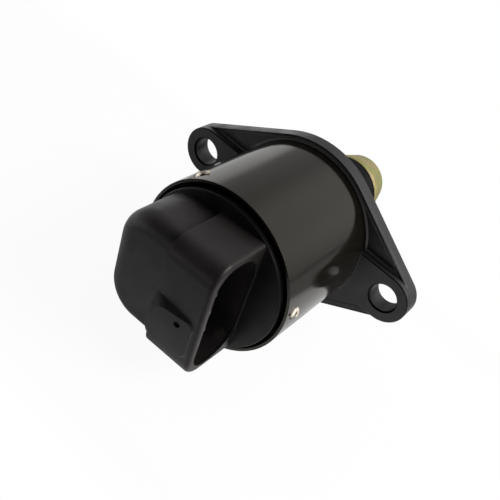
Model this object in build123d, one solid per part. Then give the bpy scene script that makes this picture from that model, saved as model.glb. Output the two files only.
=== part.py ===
"""Idle air control valve: a stepper motor in a drawn can that screws a conical pintle in and out.

The valve is drawn standing: heights run along its axis from the mounting face (0) up to the
connector, and the nose hangs below. Each finished piece is then laid down into the part's frame,
where X runs through the two ears, Y is the valve axis with the nose at +Y, and Z is up.
"""
from build123d import *
import os

# Mounting flange
flange_plate = 2.5        # thickness of the base plate
flange_core_r = 19.4      # round middle of the plate
flange_edge_bevel = 0.2   # bevelled front edge of the plate
tongue_rise = 2.0         # tongues and ear bosses stand this far off the plate
tongue_bevel = 0.2        # bevelled top edge of the tongues
foot_bevel = 0.35         # sloped foot round the tongues and the can, cast with the plate
foot_slope = 45.0         # its slope, in degrees
ear_r = 5.7               # ear radius, also half the tongue's width
ear_pitch = 52.4          # from bolt hole to bolt hole
bolt_hole_r = 3.15
bolt_lead_in = 0.3        # countersink round the front of a bolt hole
bolt_lead_depth = 0.4
pilot_r = 11.0            # pilot boss behind the mounting face
pilot_length = 9.0
pilot_chamfer = 0.8
snout_r = 8.4             # nose tube that carries the pintle
snout_length = 10.3       # beyond the pilot boss
snout_chamfer = 0.35
spigot_r = 11.0           # spigot that carries the can, with its swaged lip
spigot_lip = 0.8
spigot_lip_height = 1.15

# Pilot seal
o_ring_section = 2.4
o_ring_groove_depth = 1.8
o_ring_groove_width = 3.0
o_ring_from_face = 3.4    # from the mounting face to the groove
o_ring_flats = 8          # sides of the section as drawn

# Motor can
can_outer_r = 18.0
can_wall = 0.6
can_floor_corner = 0.5    # drawn corner at the floor, inside
stake_count = 3
stake_first = 8.0         # angle of the first stake, from the ear line
stake_r = 1.05
stake_depth = 0.6
stake_from_end = 2.55
stake_overshoot = 0.1     # the punch starts this far outside the can

# Stepper stator, two claw-pole units end to end
stator_gap = 0.45         # between the swaged lip and the front pole plate
unit_length = 10.35
pole_plate = 0.8
rotor_share = 0.522       # claw bore over the stator's radius: the rotor's share of the room
claw_thickness = 0.8
claw_count = 6
claw_root_width = 4.0
claw_tip_width = 2.6
claw_tip_gap = 0.9        # from a claw's tip to the opposite plate
stator_wall = 0.9
bobbin_wall = 0.8
bobbin_gap = 1.3          # between a bobbin's rim and the yoke wall

# Rotor
air_gap = 0.35
magnet_wall = 3.5
magnet_inset = 0.95       # the magnet ends this far inside the stator
magnet_shoulder = 0.4     # hub shoulder in front of the magnet
front_journal_r = 4.0
rear_journal_r = 3.4
rear_journal_length = 3.5
nut_height = 13.0         # length of the threaded bore
nut_from_front = 3.6      # from the front of the magnet to the threaded bore

# Bearings
front_bush_wall = 2.2
front_bush_length = 5.1
front_bush_stand = 0.1    # the bush stands off the spigot
rear_bush_wall = 1.55
rear_bush_length = 3.0
washer_thickness = 0.8
washer_face = 2.6         # radial width of the front thrust washer
washer_play = 0.2         # radial play of the washers
end_float = 0.3           # axial play of the rotor at each end

# Lead screw and pintle
screw_r = 2.42
screw_chamfer = 0.4
thread_engagement = 6.5   # screw left in the nut at full stroke
shaft_r = 3.0
shaft_flat = 2.5          # half the width across the two flats
flat_engagement = 4.5     # flats left in the guide at full stroke
travel = 8.0              # stroke of the pintle
pintle_base_r = 8.15
pintle_tip_r = 6.1
pintle_length = 8.3
pintle_land = 0.9         # short straight rim at the cone's base
pintle_tip_round = 1.3
pintle_gap = 0.3          # between the snout and the cone at rest
pintle_socket = 5.5       # depth of the shaft's socket in the pintle
guide_length = 8.0
guide_wall = 3.2
guide_web = 0.8           # wall between the front bush and the guide
spring_wire = 0.8
spring_turns = 4
spring_mean_r = 5.0

# Connector cap
cap_plug_depth = 5.55     # plug inside the can, down to the stator
disc_gap = 0.75           # open ring between the can and the disc
disc_rise = 1.2           # face of the disc above the can's end
disc_round = 0.25
seal_section = 1.2
connector_clock = 5.0     # turn of the connector from the ear line
mouth_reach = 9.6         # from the valve axis to the mouth
block_reach = 14.6        # from the valve axis to the closed end
block_half_width = 12.7
block_rise = 12.0         # above the disc
block_corner = 7.8
block_crown = 3.6         # rounded top edge of the closed block
shroud_start = -1.1       # where the shroud's step stands, along the plug direction
shroud_half_width = 13.7
shroud_rise = 13.4
shroud_corner = 4.2
mouth_round = 0.9         # rounded outer edge of the mouth
socket_half_width = 12.4
socket_floor = 0.3        # from the disc to the socket's inner floor
socket_rise = 11.65
socket_top_corner = 4.2
socket_low_corner = 6.2
socket_depth = 10.4
latch_length = 9.4        # top face of the latch pad on the shroud
latch_width = 8.6
latch_offset = -4.1       # centre line of the pad, across the plug direction
latch_rise = 1.5          # height of the pad at its rear
latch_front_rise = 0.3
latch_rear_corner = 3.6
latch_front_corner = 1.6
latch_spread = 1.9        # the sloped walls widen this far, over the same depth
latch_foot_corner = 3.2   # rear corners down there
latch_root = 0.3          # the pad reaches this far into the shroud
latch_pit_r = 0.65
latch_pit_depth = 0.6
latch_pit_along = 6.3     # from the pad's rear to the pit
latch_pit_aside = 2.5     # from the pad's centre line to the pit

# Terminals
terminal_count = 4
terminal_pitch = 4.6
terminal_width = 1.5
terminal_thickness = 0.8
terminal_leg = -7.6       # where the legs go down, along the plug direction
terminal_tip_back = 3.4   # from the mouth to the blade tips
terminal_taper = 0.35

# Clearances
running_fit = 0.05        # radial, between pieces that turn or slide
seat_fit = 0.03           # radial, between pieces that are pressed or dropped in
cap_fit = 0.1             # radial, between the cap and the can

# Heights and radii worked out from the sizes above
boss_top = flange_plate + tongue_rise
can_floor_top = flange_plate + can_wall
can_inner_r = can_outer_r - can_wall
spigot_top = can_floor_top + spigot_lip_height
snout_end = -(pilot_length + snout_length)
stator_front = spigot_top + stator_gap
stator_mid = stator_front + unit_length
stator_end = stator_mid + unit_length
stator_r = can_inner_r - 2 * seat_fit
claw_bore_r = rotor_share * stator_r
can_end = stator_end + cap_plug_depth
stake_height = can_end - stake_from_end
front_bush_top = spigot_top + front_bush_stand
front_bush_base = front_bush_top - front_bush_length
front_bush_r = front_journal_r + running_fit + front_bush_wall
rotor_front = front_bush_top + washer_thickness + end_float
magnet_r = claw_bore_r - air_gap
magnet_bore_r = magnet_r - magnet_wall
magnet_front = rotor_front + magnet_shoulder
magnet_rear = stator_end - magnet_inset
hub_r = magnet_bore_r - seat_fit
hub_rear = magnet_rear + end_float
rear_bush_front = hub_rear + end_float + washer_thickness
rear_bush_rear = rear_bush_front + rear_bush_length
rear_bush_r = rear_journal_r + running_fit + rear_bush_wall
nut_front = magnet_front + nut_from_front
nut_rear = nut_front + nut_height
guide_r = shaft_r + running_fit + guide_wall
guide_rear = front_bush_base - guide_web
guide_front = guide_rear - guide_length
screw_rear = nut_front + thread_engagement + travel
shaft_flat_rear = guide_front + flat_engagement + travel
pintle_back = snout_end - pintle_gap
pintle_tip = pintle_back - pintle_length
bobbin_bore_r = claw_bore_r + claw_thickness + 2 * seat_fit
bobbin_hub_r = bobbin_bore_r + bobbin_wall
bobbin_rim_r = stator_r - stator_wall - bobbin_gap
cap_plug_r = can_inner_r - cap_fit
cap_shoulder = stake_height - stake_r
disc_r = can_inner_r - disc_gap
disc_face = can_end + disc_rise
seal_low = stator_end + seal_section / 2
seal_groove_r = can_inner_r - seal_section
block_top = disc_face + block_rise
shroud_top = disc_face + shroud_rise
socket_back = mouth_reach - socket_depth
terminal_height = disc_face + socket_floor + socket_rise / 2


def turned(*corners):
    """Solid turned about the valve axis from (radius, height) corners."""
    return revolve(Plane.XZ * make_face(Polyline(*corners, close=True)), Axis.Z)


def ring(inner_r, outer_r, low, high):
    """Plain ring between two heights."""
    return turned((inner_r, low), (outer_r, low), (outer_r, high), (inner_r, high))


def rod(radius, low, high):
    """Plain cylinder between two heights."""
    return Pos(0, 0, low) * Cylinder(radius, high - low, align=(Align.CENTER, Align.CENTER, Align.MIN))


def prism(sketch, low, high):
    """Sketch in the plane of the flange, extruded between two heights."""
    return extrude(Pos(0, 0, low) * sketch, high - low)


def tongue_foot():
    """Sloped foot along the tongues, wider than the plate round the ears."""
    widest = ear_r + 2 * foot_bevel
    low = Pos(0, 0, flange_plate - foot_bevel) * SlotCenterToCenter(ear_pitch, 2 * widest)
    return extrude(low, 3 * foot_bevel, taper=foot_slope)


def can_foot():
    """Sloped foot round the can's seat."""
    inner_r = can_outer_r + seat_fit
    return turned(
        (inner_r, flange_plate / 2), (inner_r + foot_bevel, flange_plate / 2),
        (inner_r + foot_bevel, flange_plate), (inner_r, flange_plate + foot_bevel),
    )


def mounting_flange():
    """Cast flange with two ears, pilot boss, snout and the spigot for the can."""
    ears = Locations((-ear_pitch / 2, 0), (ear_pitch / 2, 0))
    ear_discs = ears * Circle(ear_r)
    outline = make_hull(Circle(flange_core_r).edges() + Sketch(ear_discs).edges())
    plate = prism(outline, 0, flange_plate)
    plate = chamfer(plate.edges().group_by(Axis.Z)[-1], flange_edge_bevel)
    tongues = prism(SlotCenterToCenter(ear_pitch, 2 * ear_r), flange_plate / 2, boss_top)
    tongues = chamfer(tongues.edges().group_by(Axis.Z)[-1], tongue_bevel)
    raised = tongues + (tongue_foot() & prism(outline, 0, boss_top)) + can_foot()
    body = plate + (raised - rod(can_outer_r + seat_fit, flange_plate, boss_top))
    groove_r = pilot_r - o_ring_groove_depth
    groove_low = -o_ring_from_face - o_ring_groove_width
    body += turned(
        (0, spigot_top), (spigot_r + spigot_lip, spigot_top), (spigot_r + spigot_lip, can_floor_top),
        (spigot_r, can_floor_top), (spigot_r, 0), (0, 0),
    )
    body += turned(
        (0, flange_plate / 2), (pilot_r, flange_plate / 2), (pilot_r, -o_ring_from_face),
        (groove_r, -o_ring_from_face), (groove_r, groove_low), (pilot_r, groove_low),
        (pilot_r, pilot_chamfer - pilot_length), (pilot_r - pilot_chamfer, -pilot_length),
        (0, -pilot_length),
    )
    body += turned(
        (0, pilot_chamfer - pilot_length), (snout_r, pilot_chamfer - pilot_length),
        (snout_r, snout_end + snout_chamfer), (snout_r - snout_chamfer, snout_end), (0, snout_end),
    )
    body -= rod(front_bush_r + seat_fit, front_bush_base, spigot_top)
    body -= rod(front_journal_r + end_float, guide_rear, front_bush_base)
    body -= rod(guide_r + seat_fit, snout_end, guide_rear)
    hole = rod(bolt_hole_r, 0, boss_top) + turned(
        (0, boss_top - bolt_lead_depth), (bolt_hole_r, boss_top - bolt_lead_depth),
        (bolt_hole_r + bolt_lead_in, boss_top), (0, boss_top),
    )
    return body - [place * hole for place in ears]


def pilot_o_ring():
    """Round-section seal in the pilot boss's groove, drawn with flats."""
    middle_r = pilot_r - o_ring_groove_depth + seat_fit + o_ring_section / 2
    middle = -o_ring_from_face - o_ring_groove_width / 2
    section = Pos(middle_r, middle) * RegularPolygon(
        o_ring_section / 2, o_ring_flats, major_radius=False, rotation=180 / o_ring_flats)
    return revolve(Plane.XZ * section, Axis.Z)


def stake_cone(inner, outer):
    """Cone of a stake along X, from its blunt tip at one radius out to another."""
    cone = Cone(stake_r / 2, stake_r, outer - inner, align=(Align.CENTER, Align.CENTER, Align.MIN))
    return Pos(inner, 0, 0) * Rot(0, 90, 0) * cone


def motor_can():
    """Drawn cup, open towards the connector, staked inwards at three places."""
    cup = turned(
        (spigot_r + seat_fit, flange_plate), (can_outer_r, flange_plate), (can_outer_r, can_end),
        (can_inner_r, can_end), (can_inner_r, can_floor_top + can_floor_corner),
        (can_inner_r - can_floor_corner, can_floor_top), (spigot_r + seat_fit, can_floor_top),
    )
    for step in range(stake_count):
        turn = Rot(0, 0, stake_first + step * 360 / stake_count) * Pos(0, 0, stake_height)
        cup += turn * stake_cone(can_inner_r - stake_depth, can_inner_r + can_wall / 2)
        cup -= turn * stake_cone(can_outer_r - stake_depth, can_outer_r + stake_overshoot)
    return cup


def claws(plate_face, direction):
    """Ring of tapered claws standing on a pole plate, pointing up (1) or down (-1)."""
    length = unit_length - 2 * pole_plate - claw_tip_gap
    outline = make_face(Polyline(
        (-claw_root_width / 2, 0), (claw_root_width / 2, 0),
        (claw_tip_width / 2, direction * length), (-claw_tip_width / 2, direction * length), close=True))
    tooth = extrude(Plane.XZ * outline, -2 * claw_bore_r)
    low, high = sorted((plate_face, plate_face + direction * length))
    band = ring(claw_bore_r, claw_bore_r + claw_thickness, low, high)
    start = 0 if direction > 0 else 180 / claw_count
    teeth = [Rot(0, 0, start + k * 360 / claw_count) * Pos(0, 0, plate_face) * tooth
             for k in range(claw_count)]
    return band & Part(teeth)


def pole_plate_with_claws(low, direction):
    """Flat pole plate with its claws pointing up (1) or down (-1)."""
    face = low + pole_plate if direction > 0 else low
    return ring(claw_bore_r, stator_r, low, low + pole_plate) + claws(face, direction)


def front_stator_cup():
    """Front pole plate with the yoke wall that stands on the can's floor."""
    corner = can_floor_corner + seat_fit
    wall = turned(
        (stator_r - stator_wall, can_floor_top), (stator_r - corner, can_floor_top),
        (stator_r, can_floor_top + corner), (stator_r, stator_mid - pole_plate),
        (stator_r - stator_wall, stator_mid - pole_plate),
    )
    return pole_plate_with_claws(stator_front, 1) + wall


def rear_stator_cup():
    """Rear pole plate with its yoke wall."""
    wall = ring(stator_r - stator_wall, stator_r, stator_mid + pole_plate, stator_end)
    return pole_plate_with_claws(stator_end - pole_plate, -1) + wall


def bobbin(low):
    """Coil former between two pole plates."""
    bottom = low + pole_plate
    top = low + unit_length - pole_plate
    return turned(
        (bobbin_bore_r, bottom), (bobbin_rim_r, bottom), (bobbin_rim_r, bottom + bobbin_wall),
        (bobbin_hub_r, bottom + bobbin_wall), (bobbin_hub_r, top - bobbin_wall),
        (bobbin_rim_r, top - bobbin_wall), (bobbin_rim_r, top), (bobbin_bore_r, top),
    )


def winding(low):
    """Copper winding that fills the bobbin."""
    flange = pole_plate + bobbin_wall
    outer_r = bobbin_rim_r - bobbin_wall / 2
    return ring(bobbin_hub_r + seat_fit, outer_r, low + flange, low + unit_length - flange)


def rotor_nut():
    """Hub that turns in both bushes and carries the internal thread, left smooth."""
    tail = hub_rear + rear_journal_length
    wide_r = shaft_r + end_float
    thread_r = screw_r + running_fit
    return turned(
        (wide_r, front_bush_base), (front_journal_r, front_bush_base), (front_journal_r, rotor_front),
        (hub_r, rotor_front), (hub_r, hub_rear), (rear_journal_r, hub_rear),
        (rear_journal_r, tail), (screw_r + end_float, tail), (screw_r + end_float, nut_rear),
        (thread_r, nut_rear), (thread_r, nut_front), (wide_r, nut_front),
    )


def flatted(fit, low, high):
    """Round shaft with two flats between two heights, widened by a fit."""
    section = Circle(shaft_r + fit) & Rectangle(2 * (shaft_r + fit), 2 * (shaft_flat + fit))
    return prism(section, low, high)


def lead_screw():
    """Screw that rides in the rotor nut, with a flatted shaft that cannot turn."""
    thread = rod(screw_r, shaft_flat_rear, screw_rear)
    thread = chamfer(thread.edges().group_by(Axis.Z)[-1], screw_chamfer)
    return thread + flatted(0, pintle_back - pintle_socket, shaft_flat_rear)


def pintle():
    """Conical valve plug on the end of the shaft."""
    cone = turned(
        (0, pintle_back), (pintle_base_r, pintle_back), (pintle_base_r, pintle_back - pintle_land),
        (pintle_tip_r, pintle_tip), (0, pintle_tip),
    )
    tip_edge = cone.edges().filter_by(GeomType.CIRCLE).group_by(Axis.Z)[0]
    cone = fillet(tip_edge, pintle_tip_round)
    return cone - flatted(seat_fit, pintle_back - pintle_socket, pintle_back)


def guide_bush():
    """Bush in the snout whose flatted bore keeps the shaft from turning."""
    return rod(guide_r, guide_front, guide_rear) - flatted(running_fit, guide_front, guide_rear)


def pintle_spring():
    """Compressed coil spring between the guide bush and the pintle, of square wire."""
    low = pintle_back + running_fit + spring_wire / 2
    height = guide_front - running_fit - spring_wire / 2 - low
    path = Pos(0, 0, low) * Helix(height / spring_turns, height, spring_mean_r)
    section = Plane(path @ 0, z_dir=path % 0) * Rectangle(spring_wire, spring_wire)
    return sweep(section, path, is_frenet=True)


def connector_frame():
    """Place of the connector: x is the plug direction, z the valve axis."""
    return Rot(0, 0, connector_clock)


def terminals():
    """Row of bent blades, one leg each down into the motor."""
    made = []
    tip = mouth_reach - terminal_tip_back
    low = terminal_height - terminal_thickness / 2
    for index in range(terminal_count):
        across = (index - (terminal_count - 1) / 2) * terminal_pitch
        blade = Pos((terminal_leg + tip) / 2, across, terminal_height) * Box(
            tip - terminal_leg + terminal_thickness, terminal_width, terminal_thickness)
        blade = chamfer(blade.edges().group_by(Axis.X)[-1], terminal_taper)
        leg = Pos(terminal_leg, across, (stator_end + low) / 2) * Box(
            terminal_thickness, terminal_width, low - stator_end)
        made.append(connector_frame() * (blade + leg))
    return made


def socket_cavity():
    """D-shaped hollow that the plug goes into, open at the mouth."""
    floor = disc_face + socket_floor
    top = floor + socket_rise
    outline = make_face(Polyline(
        (-socket_half_width, floor), (socket_half_width, floor),
        (socket_half_width, top), (-socket_half_width, top), close=True))
    outline = fillet(outline.vertices().group_by(Axis.Y)[-1], socket_top_corner)
    outline = fillet(outline.vertices().group_by(Axis.Y)[0], socket_low_corner)
    return across_plug(outline, socket_back, socket_depth)


def cap_plug():
    """Round part of the cap: plug in the can, seal groove, neck and disc."""
    seal_high = seal_low + seal_section
    plug = turned(
        (0, stator_end), (cap_plug_r, stator_end), (cap_plug_r, seal_low), (seal_groove_r, seal_low),
        (seal_groove_r, seal_high), (cap_plug_r, seal_high), (cap_plug_r, cap_shoulder),
        (disc_r, cap_shoulder), (disc_r, disc_face), (0, disc_face),
    )
    return fillet(plug.edges().filter_by(GeomType.CIRCLE).group_by(Axis.Z)[-1], disc_round)


def closed_block():
    """Rounded block behind the shroud."""
    length = mouth_reach + block_reach
    outline = Pos((mouth_reach - block_reach) / 2, 0) * Rectangle(length, 2 * block_half_width)
    block = prism(outline, disc_face - disc_round, block_top)
    block = fillet(block.edges().filter_by(Axis.Z).group_by(Axis.X)[0], block_corner)
    rim = block.edges().group_by(Axis.Z)[-1]
    return fillet(rim.filter_by(lambda edge: edge.center().X < mouth_reach - block_crown), block_crown)


def across_plug(outline, start, length):
    """Outline of (across, height) points, extruded along the plug direction."""
    return extrude(Plane(origin=(start, 0, 0), x_dir=(0, 1, 0), z_dir=(1, 0, 0)) * outline, length)


def shroud():
    """Straight sleeve round the socket, a step larger than the block."""
    outline = make_face(Polyline(
        (-shroud_half_width, disc_face), (shroud_half_width, disc_face),
        (shroud_half_width, shroud_top), (-shroud_half_width, shroud_top), close=True))
    outline = fillet(outline.vertices().group_by(Axis.Y)[-1], shroud_corner)
    sleeve = across_plug(outline, shroud_start, mouth_reach - shroud_start)
    rim = sleeve.edges().group_by(Axis.X)[-1]
    return fillet(rim.filter_by(lambda edge: edge.center().Z > disc_face + mouth_round), mouth_round)


def pad_outline(spread, rear_corner):
    """Outline of the latch pad, spread outwards, with its rear corners rounder than its front ones."""
    half = latch_width / 2 + spread
    outline = make_face(Polyline(
        (-spread, -half), (latch_length + spread, -half), (latch_length + spread, half), (-spread, half),
        close=True))
    outline = fillet(outline.vertices().group_by(Axis.X)[0], rear_corner)
    return fillet(outline.vertices().group_by(Axis.X)[-1], latch_front_corner)


def latch_pad():
    """Wedge on the shroud with sloped walls, highest at its rear, with a small pit."""
    drop = latch_rise - latch_front_rise
    face = Plane(
        origin=(shroud_start, latch_offset, shroud_top + latch_rise),
        x_dir=(latch_length, 0, -drop), z_dir=(drop, 0, latch_length))
    top = face * pad_outline(0, latch_rear_corner)
    foot = face.offset(-latch_spread) * pad_outline(latch_spread, latch_foot_corner)
    kept = Pos(shroud_start, latch_offset, shroud_top - latch_root) * Box(
        2 * latch_length, 2 * latch_width, 2 * latch_rise, align=(Align.MIN, Align.CENTER, Align.MIN))
    pit = face * Pos(latch_pit_along, latch_pit_aside) * Cylinder(latch_pit_r, 2 * latch_pit_depth)
    return (loft([foot, top], ruled=True) & kept) - pit


def connector_cap(blades):
    """Moulded cap in one piece: plug, disc, closed block, shroud, latch pad and socket."""
    moulding = closed_block() + shroud() + latch_pad()
    body = cap_plug() + connector_frame() * moulding - connector_frame() * socket_cavity()
    body -= rod(rear_bush_r + seat_fit, stator_end, rear_bush_rear)
    return body - blades


def cap_seal():
    """Square seal ring between the cap and the can."""
    return ring(seal_groove_r + seat_fit, can_inner_r - seat_fit, seal_low, seal_low + seal_section)


def build():
    """All pieces of the valve by node name, still standing."""
    blades = terminals()
    pieces = {
        "mounting_flange": mounting_flange(),
        "pilot_o_ring": pilot_o_ring(),
        "motor_can": motor_can(),
        "connector_cap": connector_cap(blades),
        "cap_seal": cap_seal(),
        "front_stator_cup": front_stator_cup(),
        "front_pole_plate": pole_plate_with_claws(stator_mid - pole_plate, -1),
        "rear_pole_plate": pole_plate_with_claws(stator_mid, 1),
        "rear_stator_cup": rear_stator_cup(),
        "front_bobbin": bobbin(stator_front),
        "rear_bobbin": bobbin(stator_mid),
        "front_winding": winding(stator_front),
        "rear_winding": winding(stator_mid),
        "front_bush": ring(front_journal_r + running_fit, front_bush_r, front_bush_base, front_bush_top),
        "rear_bush": ring(rear_journal_r + running_fit, rear_bush_r, rear_bush_front, rear_bush_rear),
        "front_thrust_washer": ring(
            front_journal_r + washer_play, front_journal_r + washer_face,
            front_bush_top, front_bush_top + washer_thickness),
        "rear_thrust_washer": ring(
            rear_journal_r + washer_play, rear_bush_r - washer_play,
            rear_bush_front - washer_thickness, rear_bush_front),
        "guide_bush": guide_bush(),
        "rotor_magnet": ring(magnet_bore_r, magnet_r, magnet_front, magnet_rear),
        "rotor_nut": rotor_nut(),
        "lead_screw": lead_screw(),
        "pintle": pintle(),
        "pintle_spring": pintle_spring(),
    }
    for index, blade in enumerate(blades):
        pieces["terminal_" + chr(ord("a") + index)] = blade
    return pieces


lay_down = Plane(origin=(0, 0, 0), x_dir=(1, 0, 0), z_dir=(0, -1, 0)).location
os.makedirs("parts", exist_ok=True)
for name, piece in build().items():
    export_step(lay_down * piece, "parts/" + name + ".step")
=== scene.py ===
"""Idle air control valve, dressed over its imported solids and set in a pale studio."""

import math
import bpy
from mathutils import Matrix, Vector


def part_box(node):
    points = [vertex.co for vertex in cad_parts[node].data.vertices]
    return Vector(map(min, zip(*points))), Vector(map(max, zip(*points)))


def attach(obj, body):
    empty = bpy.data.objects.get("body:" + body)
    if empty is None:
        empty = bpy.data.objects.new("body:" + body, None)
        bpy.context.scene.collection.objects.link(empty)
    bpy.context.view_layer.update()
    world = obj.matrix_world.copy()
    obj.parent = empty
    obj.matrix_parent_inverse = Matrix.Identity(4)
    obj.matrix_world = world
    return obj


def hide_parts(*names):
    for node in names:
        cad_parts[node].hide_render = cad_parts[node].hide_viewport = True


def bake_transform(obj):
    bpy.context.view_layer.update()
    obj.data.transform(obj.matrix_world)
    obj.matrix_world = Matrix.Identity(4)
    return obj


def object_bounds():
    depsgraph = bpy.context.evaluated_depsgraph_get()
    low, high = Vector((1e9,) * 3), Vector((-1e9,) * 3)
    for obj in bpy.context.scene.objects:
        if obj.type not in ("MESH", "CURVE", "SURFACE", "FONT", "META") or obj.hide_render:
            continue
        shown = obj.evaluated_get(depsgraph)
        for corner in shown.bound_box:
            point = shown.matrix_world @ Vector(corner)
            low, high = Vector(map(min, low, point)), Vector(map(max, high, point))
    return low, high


bl_info = {
    "name": "Idle Air Control Valve",
    "version": (1, 0, 0),
    "blender": (4, 5, 0),
    "location": "3D View > Sidebar > Valve",
    "description": "Finishes, thread, spring, seal, stakes, lip and studio of an idle air control valve",
    "category": "Object",
}

import bpy
from bpy.props import FloatProperty, FloatVectorProperty, IntProperty, PointerProperty
from mathutils import Matrix, Vector

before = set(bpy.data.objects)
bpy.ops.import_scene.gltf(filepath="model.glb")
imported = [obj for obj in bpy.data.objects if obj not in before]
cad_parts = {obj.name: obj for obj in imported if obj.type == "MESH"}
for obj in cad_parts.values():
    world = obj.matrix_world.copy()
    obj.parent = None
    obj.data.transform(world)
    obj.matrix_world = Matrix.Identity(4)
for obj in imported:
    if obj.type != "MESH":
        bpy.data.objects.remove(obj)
cad_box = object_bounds()


# Property helpers

def length(name, description, default):
    """Length property in metres."""
    return FloatProperty(
        name=name, description=description, default=default, unit="LENGTH", precision=6, soft_min=0.0)


def station(name, description, default):
    """Place along the valve in metres."""
    return FloatProperty(name=name, description=description, default=default, unit="LENGTH", precision=6)


def angle(name, description, degrees):
    """Angle property given in degrees."""
    return FloatProperty(
        name=name, description=description, default=math.radians(degrees), subtype="ANGLE")


def colour(name, description, default):
    """Colour property, linear."""
    return FloatVectorProperty(
        name=name, description=description, default=default, size=3, subtype="COLOR", min=0.0, max=1.0)


def share(name, description, default):
    """Number from 0 to 1."""
    return FloatProperty(
        name=name, description=description, default=default, subtype="FACTOR", min=0.0, max=1.0)


def strength(name, description, default):
    """Strength of a part of the light tent."""
    return FloatProperty(name=name, description=description, default=default, min=0.0)


def direction(name, description, default):
    """Direction in the valve's frame."""
    return FloatVectorProperty(
        name=name, description=description, default=default, size=3, subtype="DIRECTION")


class ValveSizes(bpy.types.PropertyGroup):
    """Sizes of the pieces that are drawn here, and of what the finishes follow."""
    seal_section: length("Seal section", "Thickness of the pilot seal", 0.0024)
    spring_wire: length("Spring wire", "Thickness of the spring's wire", 0.0008)
    spring_turns: FloatProperty(
        name="Spring turns", description="Turns of the spring, flat ends included", default=5.5, min=2.0)
    screw_crest: length("Screw crest", "Crest radius of the lead screw's thread", 0.00242)
    screw_pitch: length("Screw pitch", "Pitch of the lead screw's thread", 0.001)
    thread_depth: length("Thread depth", "Depth of the lead screw's thread", 0.00045)
    shaft_start: station("Shaft start", "Where the lead screw's plain shaft starts", -0.00295)
    disc_rise: length("Disc rise", "From the can's end to the face of the cap's disc", 0.0012)
    plug_turn: angle("Plug turn", "Turn of the connector from the ear line", 5.0)
    mouth_reach: length("Mouth reach", "From the valve's axis to the connector's mouth", 0.0096)
    mouth_round: length("Mouth round", "Rounded edge of the connector's mouth", 0.0009)
    ear_radius: length("Ear radius", "Radius of the flange's ears", 0.0057)
    lip_width: length("Lip width", "Width of the lip along the plate's edge, at its front", 0.0004)
    lip_foot: length("Lip foot", "Width of the lip in the plate", 0.0016)
    lip_sink: length("Lip sink", "Depth of the lip's run into the ears", 0.00006)
    lip_end: station("Lip end", "Front of the lip", -0.00305)
    lip_root: station("Lip root", "Back of the lip, inside the plate", -0.0023)
    stake_count: IntProperty(name="Stakes", description="Stakes round the can's end", default=3, min=1)
    stake_first: angle("First stake", "Angle of the first stake from the ear line", 8.0)
    stake_from_end: length("Stake from end", "From the can's end to the stakes", 0.00255)
    stake_radius: length("Stake radius", "Radius of the torn rim round a stake", 0.00112)
    stake_lip: length("Stake lip", "Thickness of the torn rim", 0.00085)


class ValveColours(bpy.types.PropertyGroup):
    """Colours of the finishes."""
    can_paint: colour("Can paint", "Gloss black on the motor can", (0.0050, 0.0043, 0.0030))
    can_tint: colour("Can tint", "Tint of the light that the can mirrors", (1.0, 0.93, 0.82))
    can_dust: colour("Can dust", "Dust on the can", (0.10, 0.097, 0.092))
    flange_coat: colour("Flange coat", "Satin black on the flange", (0.019, 0.019, 0.020))
    flange_tint: colour("Flange tint", "Tint of the light that the flange mirrors", (1.0, 0.93, 0.95))
    flange_dust: colour("Flange dust", "Dust on the flange", (0.10, 0.098, 0.095))
    # Painted highlight: light colour along the feet of the can and tongues, where light catches.
    feet_highlight: colour("Flange feet", "Light coat along the feet of can and tongues", (0.10, 0.098, 0.096))
    cap_plastic: colour("Cap plastic", "Black moulded plastic", (0.0085, 0.0068, 0.0066))
    cap_tint: colour("Cap tint", "Tint of the light that the cap mirrors", (1.0, 0.95, 0.94))
    chromate_olive: colour("Chromate olive", "Main tone of the chromated pintle", (0.42, 0.37, 0.13))
    chromate_tan: colour("Chromate tan", "Warm tone of the chromated pintle", (0.50, 0.39, 0.20))
    chromate_green: colour("Chromate green", "Cool tone of the chromated pintle", (0.35, 0.38, 0.14))
    # Painted shade: dark colour laid in the punched stake pockets, where shade falls.
    stake_pocket_shade: colour("Stake pocket", "Oily metal in the punched pockets", (0.010, 0.007, 0.005))
    bare_metal: colour("Bare metal", "Metal laid bare by the stakes", (0.72, 0.66, 0.55))
    rubber: colour("Rubber", "Seals", (0.016, 0.016, 0.016))
    steel: colour("Steel", "Pole plates, washers, screw and spring", (0.52, 0.52, 0.53))
    copper: colour("Copper", "Coil wire", (0.62, 0.25, 0.10))
    bronze: colour("Bronze", "Sintered bushes", (0.52, 0.36, 0.17))
    natural_plastic: colour("Natural plastic", "Bobbins, nut and guide", (0.74, 0.70, 0.60))
    ferrite: colour("Ferrite", "Rotor magnet", (0.07, 0.07, 0.075))
    # Painted shade: tin darkened for the blades deep inside the socket.
    shaded_tin: colour("Tin", "Terminal blades", (0.42, 0.41, 0.39))


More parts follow.
